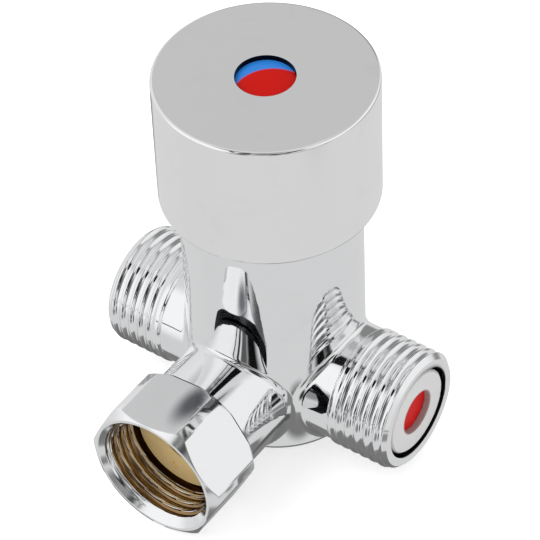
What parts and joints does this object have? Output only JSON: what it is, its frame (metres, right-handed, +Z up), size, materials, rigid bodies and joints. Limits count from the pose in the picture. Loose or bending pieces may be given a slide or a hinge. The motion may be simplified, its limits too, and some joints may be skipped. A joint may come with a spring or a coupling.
{
  "type": "mixing valve",
  "caption": "Mixing valve with hot and cold threaded inlets, a swivelling union nut outlet and a knob that sets the water temperature.",
  "frame": {"origin": "where the axes of the two inlets and of the outlet cross, inside the barrel", "axes": "+X out of the hot inlet, -X out of the cold inlet, -Y out of the outlet, +Z up the barrel to the knob"},
  "size_m": [0.0566, 0.0533, 0.0715],
  "materials": {
    "chromed_casting": "polished chrome on cast brass",
    "chromed_nut": "bright chrome on turned brass",
    "knob_chrome": "bright chrome with a softer satin top",
    "bare_brass": "machined, unplated",
    "plated_steel": "zinc plated",
    "spring_wire": "stainless spring wire",
    "seal_rubber": "black EPDM",
    "indicator": "glossy, red with a blue crescent",
    "pale_plastic": "moulded acetal",
    "white_plastic": "moulded acetal, slightly translucent",
    "red_plastic": "moulded acetal",
    "blue_plastic": "moulded acetal"
  },
  "bodies": {
    "valve": {"valve_body": "chromed_casting", "outlet_tail": "bare_brass", "bonnet": "bare_brass", "bonnet_oring": "seal_rubber", "return_spring": "spring_wire", "hot_check_housing": "white_plastic", "hot_check_guide": "white_plastic", "hot_check_spring": "spring_wire", "hot_check_oring": "seal_rubber", "cold_check_housing": "white_plastic", "cold_check_guide": "white_plastic", "cold_check_spring": "spring_wire", "cold_check_oring": "seal_rubber"},
    "adjuster": {"control_knob": "knob_chrome", "knob_screw": "plated_steel", "indicator_cap": "indicator", "spindle": "bare_brass", "spindle_oring": "seal_rubber", "spindle_clip": "plated_steel"},
    "regulator": {"overtravel_cup": "bare_brass", "overtravel_spring": "spring_wire", "overtravel_clip": "plated_steel"},
    "thrust": {"overtravel_pusher": "bare_brass", "element_piston": "plated_steel"},
    "sensor": {"wax_element": "bare_brass", "shuttle": "pale_plastic", "shuttle_oring": "seal_rubber"},
    "hot_poppet": {"hot_check_poppet": "red_plastic"},
    "cold_poppet": {"cold_check_poppet": "blue_plastic"},
    "nut": {"union_nut": "chromed_nut"}
  },
  "joints": [
    {"name": "knob_turn", "type": "hinge", "parent": "valve", "child": "adjuster", "pos_m": [0, 0, 0.036], "axis": [0, 0, 1], "range_deg": [-160, 160]},
    {"name": "regulator_lift", "type": "slide", "parent": "valve", "child": "regulator", "axis": [0, 0, 1], "range_m": [-0.00067, 0.00067]},
    {"name": "overtravel", "type": "slide", "parent": "regulator", "child": "thrust", "axis": [0, 0, 1], "range_m": [0, 0.002], "stiffness_N_per_m": 6000, "springref_m": -0.002, "deforming": ["overtravel_spring"]},
    {"name": "shuttle_slide", "type": "slide", "parent": "valve", "child": "sensor", "axis": [0, 0, 1], "range_m": [-0.0007, 0.0007], "stiffness_N_per_m": 2000, "deforming": ["return_spring"]},
    {"name": "hot_check_lift", "type": "slide", "parent": "valve", "child": "hot_poppet", "axis": [-1, 0, 0], "range_m": [0, 0.0022], "stiffness_N_per_m": 150, "springref_m": -0.002, "deforming": ["hot_check_spring"]},
    {"name": "cold_check_lift", "type": "slide", "parent": "valve", "child": "cold_poppet", "axis": [1, 0, 0], "range_m": [0, 0.0022], "stiffness_N_per_m": 150, "springref_m": -0.002, "deforming": ["cold_check_spring"]},
    {"name": "nut_swivel", "type": "hinge", "parent": "valve", "child": "nut", "pos_m": [0, -0.0295, 0], "axis": [0, -1, 0], "continuous": true}
  ],
  "couplings": [
    {"joint": "regulator_lift", "follows": "knob_turn", "m_per_rad": -0.00023873}
  ]
}
